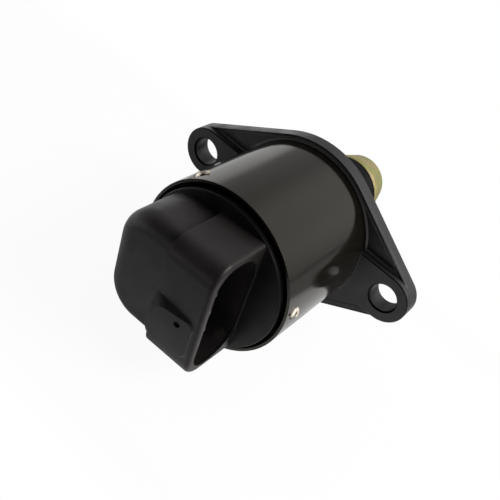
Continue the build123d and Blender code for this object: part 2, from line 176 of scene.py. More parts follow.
class ValveStudio(bpy.types.PropertyGroup):
    """Camera, floor and light."""
    aim: FloatVectorProperty(
        name="Aim", description="Point at the middle of the picture", size=3, subtype="TRANSLATION",
        unit="LENGTH", precision=5, default=(-0.00330, -0.00977, -0.00928))
    distance: length("Distance", "From the aim to the camera", 0.15666)
    azimuth: angle("Azimuth", "Camera round the valve, from the connector end", 22.18)
    elevation: angle("Elevation", "Camera above the horizon", 40.01)
    roll: angle("Roll", "Turn of the camera about its own view", 26.17)
    lens: FloatProperty(name="Lens", description="Focal length", default=50.18, subtype="DISTANCE_CAMERA")
    floor_colour: colour("Floor", "Pale floor", (0.88, 0.88, 0.88))
    floor_size: length("Floor size", "Width of the floor", 3.0)
    floor_white: share("Floor white", "Share of plain white that the camera sees in the floor", 0.94)
    floor_mirrored: share("Floor mirrored", "Share of plain white that gloss mirrors from the floor", 0.15)
    floor_shade: colour("Floor shade", "Floor before and behind the lit sheet", (0.26, 0.26, 0.26))
    sheet_middle: station("Sheet middle", "Middle of the lit sheet on the floor", -0.0175)
    sheet_half: length("Sheet half", "From the sheet's middle to its soft edge", 0.038)
    sheet_edge: length("Sheet edge", "Width of the sheet's soft edge", 0.014)
    sheet_far: length("Sheet far", "Distance at which the floor grows white on the left", 0.07)
    sheet_farther: length("Sheet farther", "Distance at which the floor is white on the left", 0.105)
    tent_light: strength("Tent light", "Strength of the light tent", 0.5)
    glow_light: strength("Glow", "Added strength of the tent's bright side", 0.4)
    glow_from: direction("Glow from", "Direction of the tent's bright side", (0.35, 0.75, 0.56))
    side_light: strength("Side light", "Added strength of the tent's left side", 0.6)
    side_from: direction("Side from", "Direction of the tent's left side", (-0.66, 0.75, 0.06))
    shade_light: strength("Shade", "Strength of the tent's dark side", 0.04)
    shade_from: direction("Shade from", "Direction of the tent's dark side", (-0.10, -0.66, 0.74))
    key_power: FloatProperty(name="Key", description="Power of the key lamp", default=3.6, unit="POWER")
    key_from: direction("Key from", "Direction of the key lamp", (0.72, 0.2, 0.66))
    key_distance: length("Key distance", "From the valve to the key lamp", 0.6)
    key_size: length("Key size", "Width of the key lamp", 0.28)


# Node trees

class NodeTree:
    """Node tree with short ways to add its nodes and join them."""

    def __init__(self, tree):
        self.tree = tree

    def add(self, kind, values=None, **settings):
        """New node with its settings and input values or links."""
        node = self.tree.nodes.new(kind)
        for key, value in settings.items():
            setattr(node, key, value)
        for key, value in (values or {}).items():
            self.feed(node.inputs[key], value)
        return node

    def feed(self, target, value):
        """Sets an input, or links an output to it."""
        if isinstance(value, bpy.types.NodeSocket):
            self.tree.links.new(value, target)
        else:
            target.default_value = value

    def math(self, operation, *values):
        """Result of one sum on its values, each an output or a plain number."""
        return self.add("ShaderNodeMath", dict(enumerate(values)), operation=operation).outputs["Value"]


# Finishes

MIX_UNDER = 6                          # colour sockets of the mix node
MIX_TOP = 7
MIX_RESULT = 2
WAVE_RATE = 20.0                       # phase of the wave node's bands, per unit
RIDGE_WOBBLE = 0.3
BEVEL_SAMPLES = 4
PATTERN_LOW = 0.35                     # most of a noise lies between these
PATTERN_HIGH = 0.65
FRONT_SLOPE = -math.sqrt(0.5)          # part along Y of a normal half-way between front and side
SLOPE_REACH = 0.15                     # how far a sloped face may differ from it
POCKET_FADE = 1.2                      # a pocket ends softly at this multiple of its radius


def scaled(tone, factor):
    """Lighter or darker copy of a colour."""
    return tuple(min(1.0, part * factor) for part in tone)


class Finish(NodeTree):
    """Node material with a Principled shader, fed by patterns in object space."""

    def __init__(self, name, base, roughness, metallic=0.0):
        self.material = bpy.data.materials.new(name)
        self.material.use_nodes = True
        super().__init__(self.material.node_tree)
        self.tree.nodes.clear()
        self.shader = self.add("ShaderNodeBsdfPrincipled", {
            "Base Color": (*base, 1.0), "Roughness": roughness, "Metallic": metallic})
        self.output = self.add("ShaderNodeOutputMaterial", {"Surface": self.shader.outputs["BSDF"]})
        self.place = self.add("ShaderNodeTexCoord").outputs["Object"]
        self.normal = None

    def put(self, socket, value):
        """Sets or feeds one input of the shader."""
        self.feed(self.shader.inputs[socket], value)

    def along(self, axis, vector=None):
        """One part of a vector, or of the place in object space."""
        return self.add("ShaderNodeSeparateXYZ", {"Vector": vector or self.place}).outputs[axis]

    def noise(self, size, detail=2.0, stretch=(1.0, 1.0, 1.0)):
        """Noise whose blotches are about size metres wide, stretched along the axes."""
        mapping = self.add("ShaderNodeMapping", {
            "Vector": self.place, "Scale": [1.0 / (size * part) for part in stretch]})
        node = self.add("ShaderNodeTexNoise", {
            "Vector": mapping.outputs["Vector"], "Scale": 1.0, "Detail": detail})
        return node.outputs["Fac"]

    def ridges(self, pitch):
        """Fine ridges across the valve's axis, a pitch apart."""
        node = self.add("ShaderNodeTexWave", {
            "Vector": self.place, "Scale": 2.0 * math.pi / (WAVE_RATE * pitch), "Distortion": RIDGE_WOBBLE},
            wave_type="BANDS", bands_direction="Y")
        return node.outputs["Fac"]

    def specks(self, spacing, radius, kept):
        """Mask of small round specks: only the kept share of the cells has one."""
        node = self.add(
            "ShaderNodeTexVoronoi", {"Vector": self.place, "Scale": 1.0 / spacing}, feature="F1")
        near = self.math("LESS_THAN", node.outputs["Distance"], radius / spacing)
        chosen = self.math("LESS_THAN", node.outputs["Color"], kept)
        return self.math("MULTIPLY", near, chosen)

    def span(self, first, second):
        """Length of a vector with two parts."""
        squares = [self.math("POWER", part, 2.0) for part in (first, second)]
        return self.math("SQRT", self.math("ADD", *squares))

    def turned(self, turn):
        """Place along X after a turn about the valve's axis."""
        across = self.math("MULTIPLY", self.along("X"), math.cos(turn))
        return self.math("ADD", across, self.math("MULTIPLY", self.along("Z"), math.sin(turn)))

    def pockets(self, sizes, middle):
        """Mask of the round pockets punched into the can, at one place along Y."""
        step = 2.0 * math.pi / sizes.stake_count
        turn = self.math("ARCTAN2", self.along("Z"), self.along("X"))
        turn = self.math("SUBTRACT", turn, sizes.stake_first - step / 2)
        turn = self.math("SUBTRACT", self.math("FLOORED_MODULO", turn, step), step / 2)
        aside = self.math("MULTIPLY", turn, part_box("motor_can")[1].x)
        ahead = self.math("SUBTRACT", self.along("Y"), middle)
        return self.spread(
            self.span(aside, ahead), 1.0, 0.0, start=sizes.stake_radius, end=POCKET_FADE * sizes.stake_radius)

    def slopes(self):
        """Mask of the narrow faces that slope between the valve's front and its sides."""
        flat = self.add("ShaderNodeNewGeometry").outputs["True Normal"]
        return self.math("COMPARE", self.along("Y", flat), FRONT_SLOPE, SLOPE_REACH)

    def spread(self, value, low, high, start=PATTERN_LOW, end=PATTERN_HIGH):
        """Value of a pattern, spread from low to high."""
        node = self.add("ShaderNodeMapRange", {
            "Value": value, "From Min": start, "From Max": end, "To Min": low, "To Max": high})
        return node.outputs["Result"]

    def tones(self, value, *stops):
        """Colour ramp over a pattern, from (position, colour) stops."""
        ramp = self.add("ShaderNodeValToRGB", {"Fac": value})
        elements = ramp.color_ramp.elements
        while len(elements) < len(stops):
            elements.new(0.5)
        for element, (position, tone) in zip(elements, stops):
            element.position = position
            element.color = (*tone, 1.0)
        return ramp.outputs["Color"]

    def mottled(self, pattern, base, dark, light, start=0.3, end=0.7):
        """Base colour that drifts from a dark to a light share of itself over a pattern."""
        return self.tones(pattern, (start, scaled(base, dark)), (end, scaled(base, light)))

    def over(self, under, top, mask):
        """Colour laid over another where a mask is 1."""
        node = self.add(
            "ShaderNodeMix", {"Factor": mask, MIX_UNDER: under, MIX_TOP: (*top, 1.0)}, data_type="RGBA")
        return node.outputs[MIX_RESULT]

    def dim(self, mask, low, tint):
        """Tints the mirrored light, and weakens it to a low share where a mask is 1."""
        self.put("Specular Tint", self.tones(mask, (0.0, tint), (1.0, scaled(tint, low))))

    def rounded(self, edge):
        """Rounds the edges a little."""
        self.normal = self.add("ShaderNodeBevel", {"Radius": edge}, samples=BEVEL_SAMPLES).outputs["Normal"]
        self.put("Normal", self.normal)

    def bump(self, pattern, depth):
        """Adds a pattern's relief, with a depth in metres, to the normal so far."""
        node = self.add("ShaderNodeBump", {"Height": pattern, "Distance": depth, "Normal": self.normal})
        self.normal = node.outputs["Normal"]
        self.put("Normal", self.normal)


POCKET_ROUGHNESS = 0.6


def can_paint(colours, sizes, stake_place):
    """Gloss black paint, faintly cloudy, with orange peel and dust, broken where the stakes are punched, with
    painted shade darkening their pockets.
    """
    finish = Finish("can_paint", colours.can_paint, roughness=0.18)
    finish.put("Specular Tint", (*colours.can_tint, 1.0))
    pocket = finish.pockets(sizes, stake_place)
    cloud = finish.noise(size=0.012, detail=3.0)
    tone = finish.mottled(cloud, colours.can_paint, dark=0.8, light=1.25, start=0.35, end=0.65)
    tone = finish.over(tone, colours.can_dust, finish.specks(spacing=0.0042, radius=0.00013, kept=0.22))
    # Painted shade darkens the stake pockets.
    finish.put("Base Color", finish.over(tone, colours.stake_pocket_shade, pocket))
    gloss = finish.spread(finish.noise(size=0.005, detail=4.0), low=0.11, high=0.17)
    dull = finish.math("MULTIPLY", pocket, POCKET_ROUGHNESS)
    finish.put("Roughness", finish.math("MAXIMUM", gloss, dull))
    finish.rounded(edge=0.0001)
    finish.bump(finish.noise(size=0.0006), depth=0.000003)
    return finish.material


SNOUT_FROM = 0.0089                    # places along the valve
SNOUT_BLEND = 0.0002
FOOT_FROM = -0.0030
TONGUE_EDGE = -0.0040
JOINT_WIDTH = 0.00025                  # painted highlight line where can and tongues meet
EDGE_SHADE_AND_SNOUT_SHARE = 0.15                     # tone of the painted shade on the tongues' sloped edges, and of the darker snout
SNOUT_DULLED = 0.35                    # roughness added on the snout


def flange_coat(colours, can_radius):
    """Satin black coat on a casting, with a painted highlight along the feet, painted shade on the tongues'
    sloped edges, and darker and duller on the snout.
    """
    finish = Finish("flange_coat", colours.flange_coat, roughness=0.38)
    finish.put("Specular IOR Level", 0.4)
    cloud = finish.noise(size=0.008, detail=4.0)
    tone = finish.mottled(cloud, colours.flange_coat, dark=0.8, light=1.25)
    tone = finish.over(tone, colours.flange_dust, finish.specks(spacing=0.0035, radius=0.00012, kept=0.18))
    place, slope = finish.along("Y"), finish.slopes()
    tongue = finish.math("LESS_THAN", place, TONGUE_EDGE)
    foot = finish.math("MULTIPLY", slope, finish.math("GREATER_THAN", place, FOOT_FROM))
    joint = finish.span(finish.along("X"), finish.along("Z"))
    joint = finish.math("MULTIPLY", finish.math("LESS_THAN", joint, can_radius + JOINT_WIDTH), tongue)
    # Painted highlight: the sloped foot faces and the tongues' ends at the can are laid lighter.
    tone = finish.over(tone, colours.feet_highlight, finish.math("MAXIMUM", foot, joint))
    # Painted shade: the tongues' sloped edge faces are darkened and mirror less light.
    painted_edge_shade = finish.math("MULTIPLY", slope, tongue)
    snout = finish.spread(place, 0.0, 1.0, start=SNOUT_FROM, end=SNOUT_FROM + SNOUT_BLEND)
    dark = finish.math("MAXIMUM", painted_edge_shade, snout)
    finish.put("Base Color", finish.over(tone, scaled(colours.flange_coat, EDGE_SHADE_AND_SNOUT_SHARE), dark))
    finish.dim(dark, low=0.25, tint=colours.flange_tint)
    satin = finish.spread(finish.noise(size=0.003, detail=3.0), low=0.32, high=0.46)
    dull = finish.math("MULTIPLY", snout, SNOUT_DULLED)
    finish.put("Roughness", finish.math("ADD", satin, dull))
    finish.rounded(edge=0.0001)
    finish.bump(finish.noise(size=0.0005, detail=3.0), depth=0.000008)
    return finish.material


DISC_BLEND = 0.0002
DISC_SHADE_SHARE = 0.3                       # tone of the painted shade on the sunken disc
RIM_SHADE_SHARE = 0.55                      # share of the disc's painted shade, laid over the mirrored light at the mouth's rim


def cap_plastic(colours, sizes, disc_face):
    """Moulded black plastic with soft sheen changes, with painted shade on the sunken disc and a painted
    weakening of the highlight round the mouth's rim.
    """
    finish = Finish("cap_plastic", colours.cap_plastic, roughness=0.42)
    finish.put("Specular IOR Level", 0.5)
    cloud = finish.noise(size=0.007, detail=3.0)
    tone = finish.mottled(cloud, colours.cap_plastic, dark=0.8, light=1.25)
    # Painted shade: the sunken disc is darkened and mirrors less light.
    disc = finish.spread(
        finish.along("Y"), 0.0, 1.0, start=disc_face - DISC_BLEND, end=disc_face + DISC_BLEND)
    finish.put("Base Color", finish.over(tone, scaled(colours.cap_plastic, DISC_SHADE_SHARE), disc))
    # Painted shade over the highlight on the mouth's rim: it mirrors less light there.
    rim = finish.spread(
        finish.turned(sizes.plug_turn), 0.0, RIM_SHADE_SHARE, start=sizes.mouth_reach - sizes.mouth_round,
        end=sizes.mouth_reach - sizes.mouth_round / 2)
    finish.dim(finish.math("MAXIMUM", disc, rim), low=0.05, tint=colours.cap_tint)
    finish.put("Roughness", finish.spread(finish.noise(size=0.004, detail=4.0), low=0.36, high=0.48))
    finish.rounded(edge=0.0002)
    finish.bump(finish.noise(size=0.00025), depth=0.000004)
    finish.bump(finish.noise(size=0.004), depth=0.00002)
    return finish.material


def chromate(colours):
    """Yellow chromate on a turned cone, drifting from tan to green."""
    finish = Finish("chromate", colours.chromate_olive, roughness=0.42, metallic=0.75)
    drift = finish.noise(size=0.0035, detail=3.0)
    finish.put("Base Color", finish.tones(
        drift, (0.34, colours.chromate_tan), (0.5, colours.chromate_olive), (0.66, colours.chromate_green)))
    finish.put("Roughness", finish.spread(finish.noise(size=0.002, detail=3.0), low=0.36, high=0.5))
    finish.rounded(edge=0.00015)
    finish.bump(finish.ridges(pitch=0.00018), depth=0.000004)
    return finish.material


def bare_metal(colours):
    """Torn bright metal in a stake."""
    finish = Finish("bare_metal", colours.bare_metal, roughness=0.5, metallic=0.3)
    grain = finish.noise(size=0.0006, detail=3.0)
    finish.put("Base Color", finish.mottled(
        grain, colours.bare_metal, dark=0.7, light=1.0, start=0.35, end=0.6))
    finish.rounded(edge=0.00005)
    finish.bump(grain, depth=0.00003)
    return finish.material


def seal_rubber(colours):
    """Moulded rubber with a dull bloom."""
    finish = Finish("seal_rubber", colours.rubber, roughness=0.62)
    bloom = finish.noise(size=0.003, detail=3.0)
    finish.put("Base Color", finish.mottled(bloom, colours.rubber, dark=0.8, light=1.7, start=0.35))
    finish.rounded(edge=0.0001)
    finish.bump(finish.noise(size=0.0003), depth=0.00001)
    return finish.material


def rolled_steel(colours):
    """Sheet steel with rolling marks."""
    finish = Finish("rolled_steel", colours.steel, roughness=0.36, metallic=1.0)
    marks = finish.noise(size=0.0012, detail=3.0, stretch=(8.0, 1.0, 1.0))
    finish.put("Base Color", finish.mottled(marks, colours.steel, dark=0.85, light=1.1))
    finish.put("Roughness", finish.spread(marks, low=0.3, high=0.45))
    finish.rounded(edge=0.0001)
    finish.bump(marks, depth=0.000004)
    return finish.material


def turned_steel(colours):
    """Turned or drawn steel with fine rings across its length."""
    finish = Finish("turned_steel", colours.steel, roughness=0.28, metallic=1.0)
    cloud = finish.noise(size=0.002, detail=3.0)
    finish.put("Base Color", finish.mottled(cloud, colours.steel, dark=0.95, light=1.2))
    finish.put("Roughness", finish.spread(cloud, low=0.22, high=0.36))
    finish.rounded(edge=0.00008)
    finish.bump(finish.ridges(pitch=0.00012), depth=0.000003)
    return finish.material


def coil_copper(colours):
    """Enamelled wire, turn beside turn, with painted shade in the grooves between turns."""
    finish = Finish("coil_copper", colours.copper, roughness=0.3, metallic=1.0)
    turns = finish.ridges(pitch=0.00028)
    # Painted shade: darker in the grooves between the turns.
    finish.put("Base Color", finish.mottled(turns, colours.copper, dark=0.45, light=1.0, start=0.1, end=0.6))
    finish.put("Coat Weight", 0.5)
    finish.rounded(edge=0.0001)
    finish.bump(turns, depth=0.00008)
    return finish.material


def sintered_bronze(colours):
    """Porous bronze with oil in its pores."""
    finish = Finish("sintered_bronze", colours.bronze, roughness=0.4, metallic=1.0)
    pores = finish.noise(size=0.0002, detail=3.0)
    finish.put("Base Color", finish.mottled(
        pores, colours.bronze, dark=0.35, light=1.0, start=0.38, end=0.5))
    finish.put("Roughness", finish.spread(pores, low=0.3, high=0.5))
    finish.rounded(edge=0.0001)
    finish.bump(pores, depth=0.00001)
    return finish.material


def natural_plastic(colours):
    """Undyed moulded plastic."""
    finish = Finish("natural_plastic", colours.natural_plastic, roughness=0.42)
    cloud = finish.noise(size=0.004, detail=3.0)
    finish.put("Base Color", finish.mottled(cloud, colours.natural_plastic, dark=0.93, light=1.05))
    finish.put("Subsurface Weight", 0.15)
    finish.put("Subsurface Radius", (0.001, 0.0008, 0.0005))
    finish.rounded(edge=0.00015)
    finish.bump(finish.noise(size=0.0003), depth=0.000004)
    return finish.material


def ferrite(colours):
    """Ground sintered magnet."""
    finish = Finish("ferrite", colours.ferrite, roughness=0.45, metallic=0.3)
    grain = finish.noise(size=0.0004, detail=4.0)
    finish.put("Base Color", finish.mottled(
        grain, colours.ferrite, dark=0.7, light=1.4, start=0.35, end=0.65))
    finish.put("Roughness", finish.spread(finish.noise(size=0.002), low=0.36, high=0.52))
    finish.rounded(edge=0.00015)
    finish.bump(grain, depth=0.000006)
    return finish.material


def tinned_brass(colours):
    """Tinned blade with wiping marks along its length, darkened as painted shade for blades deep in the
    socket.
    """
    finish = Finish("tinned_brass", colours.shaded_tin, roughness=0.3, metallic=1.0)
    wipe = finish.noise(size=0.0004, detail=3.0, stretch=(12.0, 1.0, 1.0))
    finish.put("Base Color", finish.mottled(wipe, colours.shaded_tin, dark=0.8, light=1.0))
    finish.put("Roughness", finish.spread(wipe, low=0.24, high=0.4))
    finish.rounded(edge=0.0001)
    finish.bump(wipe, depth=0.000004)
    return finish.material


def coat(names, material):
    """Gives CAD nodes a finish."""
    for name in names:
        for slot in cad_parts[name].material_slots:
            slot.material = material


# Node trees for what repeats or follows a path

LAY_ALONG_Y = (-math.pi / 2, 0.0, 0.0)
WIRE_SIDES = 14
THREAD_SIDES = 4
TURN_STEPS = 64
LIP_STEPS = 160
HARD_EDGE = math.radians(35.0)
FLAT_TURNS = 0.8                       # flat at each end of the spring
STAKE_ARC_START = math.radians(45.0)
STAKE_ARC = math.radians(215.0)
STAKE_ENDS = 0.75                      # thickness of a torn rim's ends, as a share of its lip
STAKE_SWELL = 0.35                     # added to it half-way
STAKE_TEAR_SCALE = 1100.0              # blotches of the tear, per metre
STAKE_TEAR_DETAIL = 3.0
STAKE_TEAR = 0.9                       # depth of the tear, as a share of the lip
NOISE_MIDDLE = (0.5, 0.5, 0.5)


class Growth(NodeTree):
    """Geometry node tree with named inputs, which ends in real geometry with its finish set."""

    def __init__(self, name, **sizes):
        super().__init__(bpy.data.node_groups.new(name, "GeometryNodeTree"))
        face = self.tree.interface
        for label, value in sizes.items():
            kind = "NodeSocketInt" if isinstance(value, int) else "NodeSocketFloat"
            face.new_socket(label, in_out="INPUT", socket_type=kind).default_value = value
        face.new_socket("finish", in_out="INPUT", socket_type="NodeSocketMaterial")
        face.new_socket("geometry", in_out="OUTPUT", socket_type="NodeSocketGeometry")
        self.inputs = self.add("NodeGroupInput").outputs
        self.sizes = [self.inputs[label] for label in sizes]

    def half(self, value):
        """Half of a number."""
        return self.math("MULTIPLY", value, 0.5)

    def vector(self, x, y, z):
        """Vector from three numbers or outputs."""
        return self.add("ShaderNodeCombineXYZ", {"X": x, "Y": y, "Z": z}).outputs["Vector"]

    def place(self):
        """Parts of each point's place."""
        here = self.add("GeometryNodeInputPosition").outputs["Position"]
        return self.add("ShaderNodeSeparateXYZ", {"Vector": here}).outputs

    def way(self):
        """Share of a path's length at each of its points."""
        return self.add("GeometryNodeSplineParameter").outputs["Factor"]

    def circle(self, radius, steps):
        """Circle about Z."""
        ring = self.add("GeometryNodeCurvePrimitiveCircle", {"Resolution": steps, "Radius": radius})
        return ring.outputs["Curve"]

    def spiral(self, radius, turns, height, steps):
        """Helix along Z."""
        helix = self.add("GeometryNodeCurveSpiral", {
            "Resolution": steps, "Rotations": turns, "Height": height, "Start Radius": radius,
            "End Radius": radius})
        return helix.outputs["Curve"]

    def moved(self, geometry, position):
        """Geometry with its points at new places."""
        node = self.add("GeometryNodeSetPosition", {"Geometry": geometry, "Position": position})
        return node.outputs["Geometry"]

    def laid(self, geometry, along):
        """Geometry turned from Z to Y, at one place along it."""
        node = self.add("GeometryNodeTransform", {
            "Geometry": geometry, "Rotation": LAY_ALONG_Y, "Translation": self.vector(0.0, along, 0.0)})
        return node.outputs["Geometry"]

    def sweep(self, path, section, capped=False):
        """Section drawn along a path."""
        node = self.add("GeometryNodeCurveToMesh", {
            "Curve": path, "Profile Curve": section, "Fill Caps": capped})
        return node.outputs["Mesh"]

    def tube(self, path, radius, sides):
        """Closed round tube along a path."""
        return self.sweep(path, self.circle(radius, sides), capped=True)

    def rod(self, radius, low, high):
        """Round rod along Y between two places."""
        line = self.add("GeometryNodeCurvePrimitiveLine", {
            "Start": self.vector(0.0, low, 0.0), "End": self.vector(0.0, high, 0.0)})
        return self.tube(line.outputs["Curve"], radius, TURN_STEPS)

    def close(self, geometry):
        """Ends the tree: real geometry, smooth but for its hard edges, with the finish set."""
        smooth = self.add("GeometryNodeSetShadeSmooth", {"Geometry": geometry})
        bend = self.add("GeometryNodeInputMeshEdgeAngle").outputs["Unsigned Angle"]
        hard = self.add("GeometryNodeSetShadeSmooth", {
            "Geometry": smooth.outputs["Geometry"], "Selection": self.math("GREATER_THAN", bend, HARD_EDGE),
            "Shade Smooth": False}, domain="EDGE")
        real = self.add("GeometryNodeRealizeInstances", {"Geometry": hard.outputs["Geometry"]})
        finish = self.add("GeometryNodeSetMaterial", {
            "Geometry": real.outputs["Geometry"], "Material": self.inputs["finish"]})
        self.add("NodeGroupOutput", {"geometry": finish.outputs["Geometry"]})

    def grow(self, name, material, **sizes):
        """Runs the tree once on a new object and keeps the result as a plain mesh."""
        piece = bpy.data.objects.new(name, bpy.data.meshes.new(name))
        bpy.context.scene.collection.objects.link(piece)
        modifier = piece.modifiers.new("Growth", "NODES")
        modifier.node_group = self.tree
        for socket in self.tree.interface.items_tree:
            if socket.in_out == "INPUT":
                modifier[socket.identifier] = material if socket.name == "finish" else sizes[socket.name]
        seen = piece.evaluated_get(bpy.context.evaluated_depsgraph_get())
        plain = bpy.data.meshes.new_from_object(seen)
        piece.modifiers.remove(modifier)
        piece.data = plain
        plain.name = name
        return piece


def spring_growth():
    """Coil of round wire along Y, with flat ends."""
    growth = Growth("spring_growth", wire=0.0008, radius=0.005, turns=5.5, low=0.0, high=0.01)
    wire, radius, turns, low, high = growth.sizes
    coil = growth.spiral(radius, turns, height=1.0, steps=TURN_STEPS)
    flat_share = growth.math("DIVIDE", FLAT_TURNS, turns)
    rise = growth.add("ShaderNodeMapRange", {
        "Value": growth.way(), "From Min": flat_share,
        "From Max": growth.math("SUBTRACT", 1.0, flat_share),
        "To Min": growth.math("ADD", low, growth.half(wire)),
        "To Max": growth.math("SUBTRACT", high, growth.half(wire))})
    place = growth.place()
    path = growth.moved(coil, growth.vector(place["X"], rise.outputs["Result"], place["Y"]))
    growth.close(growth.tube(path, growth.half(wire), WIRE_SIDES))
    return growth


def screw_growth():
    """Lead screw along Y: a core with a helical thread, and a plain shaft with two flats."""
    growth = Growth(
        "screw_growth", crest=0.0024, depth=0.0004, pitch=0.001, low=0.0, start=0.01, high=0.02,
        shaft=0.003, flat=0.0025)
    crest, depth, pitch, low, start, high, shaft, flat = growth.sizes
    root = growth.math("SUBTRACT", crest, depth)
    run = growth.math("SUBTRACT", growth.math("SUBTRACT", start, low), growth.math("MULTIPLY", depth, 2.0))
    helix = growth.spiral(root, growth.math("DIVIDE", run, pitch), height=run, steps=TURN_STEPS // 2)
    path = growth.laid(helix, growth.math("ADD", low, depth))
    thread = growth.tube(path, depth, THREAD_SIDES)
    core = growth.rod(root, low, start)
    place = growth.place()
    side = growth.add("ShaderNodeClamp", {
        "Value": place["Z"], "Min": growth.math("MULTIPLY", flat, -1.0), "Max": flat})
    flatted = growth.moved(
        growth.rod(shaft, start, high), growth.vector(place["X"], place["Y"], side.outputs["Result"]))
    joined = growth.add("GeometryNodeJoinGeometry")
    for piece in (thread, core, flatted):
        growth.feed(joined.inputs["Geometry"], piece)
    growth.close(joined.outputs["Geometry"])
    return growth


def seal_growth():
    """Round seal ring about Y."""
    growth = Growth("seal_growth", section=0.0024, radius=0.01, middle=0.0)
    section, radius, middle = growth.sizes
    path = growth.laid(growth.circle(radius, 2 * TURN_STEPS), middle)
    growth.close(growth.sweep(path, growth.circle(growth.half(section), 2 * WIRE_SIDES)))
    return growth


def lip_growth():
    """Lip about Y, sloped inside, along the hull of a round middle and the two ears beside it."""
    growth = Growth(
        "lip_growth", middle=0.0194, ear=0.0057, reach=0.0262, top=0.0004, foot=0.0016, low=-0.003,
        high=-0.0023)
    middle, ear, reach, top, foot, low, high = growth.sizes
    way = growth.place()
    side = growth.math("SIGN", way["X"])
    ear_height = growth.math("MULTIPLY", growth.math("MULTIPLY", way["X"], side), reach)
    at_ear = growth.math("GREATER_THAN", growth.math("ADD", ear_height, ear), middle)
    change = growth.math("MULTIPLY", at_ear, growth.math("SUBTRACT", ear, middle))
    radius = growth.math("SUBTRACT", growth.math("ADD", middle, change), growth.half(foot))
    shift = growth.math("MULTIPLY", growth.math("MULTIPLY", at_ear, side), reach)
    across = growth.math("ADD", growth.math("MULTIPLY", way["X"], radius), shift)
    outline = growth.moved(
        growth.circle(1.0, LIP_STEPS), growth.vector(across, growth.math("MULTIPLY", way["Y"], radius), 0.0))
    section = growth.add("GeometryNodeCurvePrimitiveQuadrilateral", {
        "Height": growth.math("SUBTRACT", high, low), "Bottom Width": foot, "Top Width": top,
        "Offset": growth.half(growth.math("SUBTRACT", foot, top))}, mode="TRAPEZOID")
    strip = growth.sweep(outline, section.outputs["Curve"])
    growth.close(growth.laid(strip, growth.half(growth.math("ADD", low, high))))
    return growth


def stake_growth():
    """Torn metal rims round the stakes of the can."""
    growth = Growth(
        "stake_growth", count=3, first=0.0, can_radius=0.018, along=0.0, radius=0.0009, lip=0.0005)
    count, first, can_radius, along, radius, lip = growth.sizes
    index = growth.add("GeometryNodeInputIndex").outputs["Index"]
    turn = growth.math("DIVIDE", growth.math("MULTIPLY", index, 2.0 * math.pi), count)
    turn = growth.math("ADD", first, turn)
    across, up = growth.math("COSINE", turn), growth.math("SINE", turn)
    points = growth.add("GeometryNodePoints", {
        "Count": count,
        "Position": growth.vector(
            growth.math("MULTIPLY", across, can_radius), along, growth.math("MULTIPLY", up, can_radius))})
    facing = growth.add(
        "FunctionNodeAlignRotationToVector", {"Vector": growth.vector(across, 0.0, up)}, axis="Z")
    path = growth.add("GeometryNodeCurveArc", {
        "Resolution": TURN_STEPS // 2, "Radius": radius, "Start Angle": STAKE_ARC_START,
        "Sweep Angle": STAKE_ARC})
    swell = growth.math("SINE", growth.math("MULTIPLY", growth.way(), math.pi))
    thickness = growth.math("ADD", growth.math("MULTIPLY", swell, STAKE_SWELL), STAKE_ENDS)
    swollen = growth.add("GeometryNodeSetCurveRadius", {"Curve": path.outputs["Curve"], "Radius": thickness})
    rims = growth.add("GeometryNodeInstanceOnPoints", {
        "Points": points.outputs["Points"], "Rotation": facing.outputs["Rotation"],
        "Instance": growth.tube(swollen.outputs["Curve"], growth.half(lip), WIRE_SIDES)})
    real = growth.add("GeometryNodeRealizeInstances", {"Geometry": rims.outputs["Instances"]})
    grain = growth.add("ShaderNodeTexNoise", {"Scale": STAKE_TEAR_SCALE, "Detail": STAKE_TEAR_DETAIL})
    centred = growth.add(
        "ShaderNodeVectorMath", {0: grain.outputs["Color"], 1: NOISE_MIDDLE}, operation="SUBTRACT")
    tear = growth.add("ShaderNodeVectorMath", {
        0: centred.outputs["Vector"], "Scale": growth.math("MULTIPLY", lip, STAKE_TEAR)}, operation="SCALE")
    torn = growth.add("GeometryNodeSetPosition", {
        "Geometry": real.outputs["Geometry"], "Offset": tear.outputs["Vector"]})
    growth.close(torn.outputs["Geometry"])
    return growth


# Operators

class VALVE_OT_coat_housing(bpy.types.Operator):
    """Coat the can, the flange and the cap, and draw the torn rims and the flange's lip"""
    bl_idname = "valve.coat_housing"
    bl_label = "Coat Housing"

    def execute(self, context):
        sizes = context.scene.valve_sizes
        colours = context.scene.valve_colours
        low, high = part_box("motor_can")
        stake_place = low.y + sizes.stake_from_end
        flange = flange_coat(colours, high.x)
        coat(["motor_can"], can_paint(colours, sizes, stake_place))
        coat(["mounting_flange"], flange)
        coat(["connector_cap"], cap_plastic(colours, sizes, low.y - sizes.disc_rise))
        stakes = stake_growth().grow(
            "stake_rims", bare_metal(colours), count=sizes.stake_count, first=sizes.stake_first,
            can_radius=high.x, along=stake_place, radius=sizes.stake_radius, lip=sizes.stake_lip)
        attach(stakes, "housing")
        flange_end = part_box("mounting_flange")[1]
        lip = lip_growth().grow(
            "flange_lip", flange, middle=flange_end.z, ear=sizes.ear_radius - sizes.lip_sink,
            reach=flange_end.x - sizes.ear_radius, top=sizes.lip_width, foot=sizes.lip_foot,
            low=sizes.lip_end, high=sizes.lip_root)
        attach(lip, "housing")
        return {"FINISHED"}


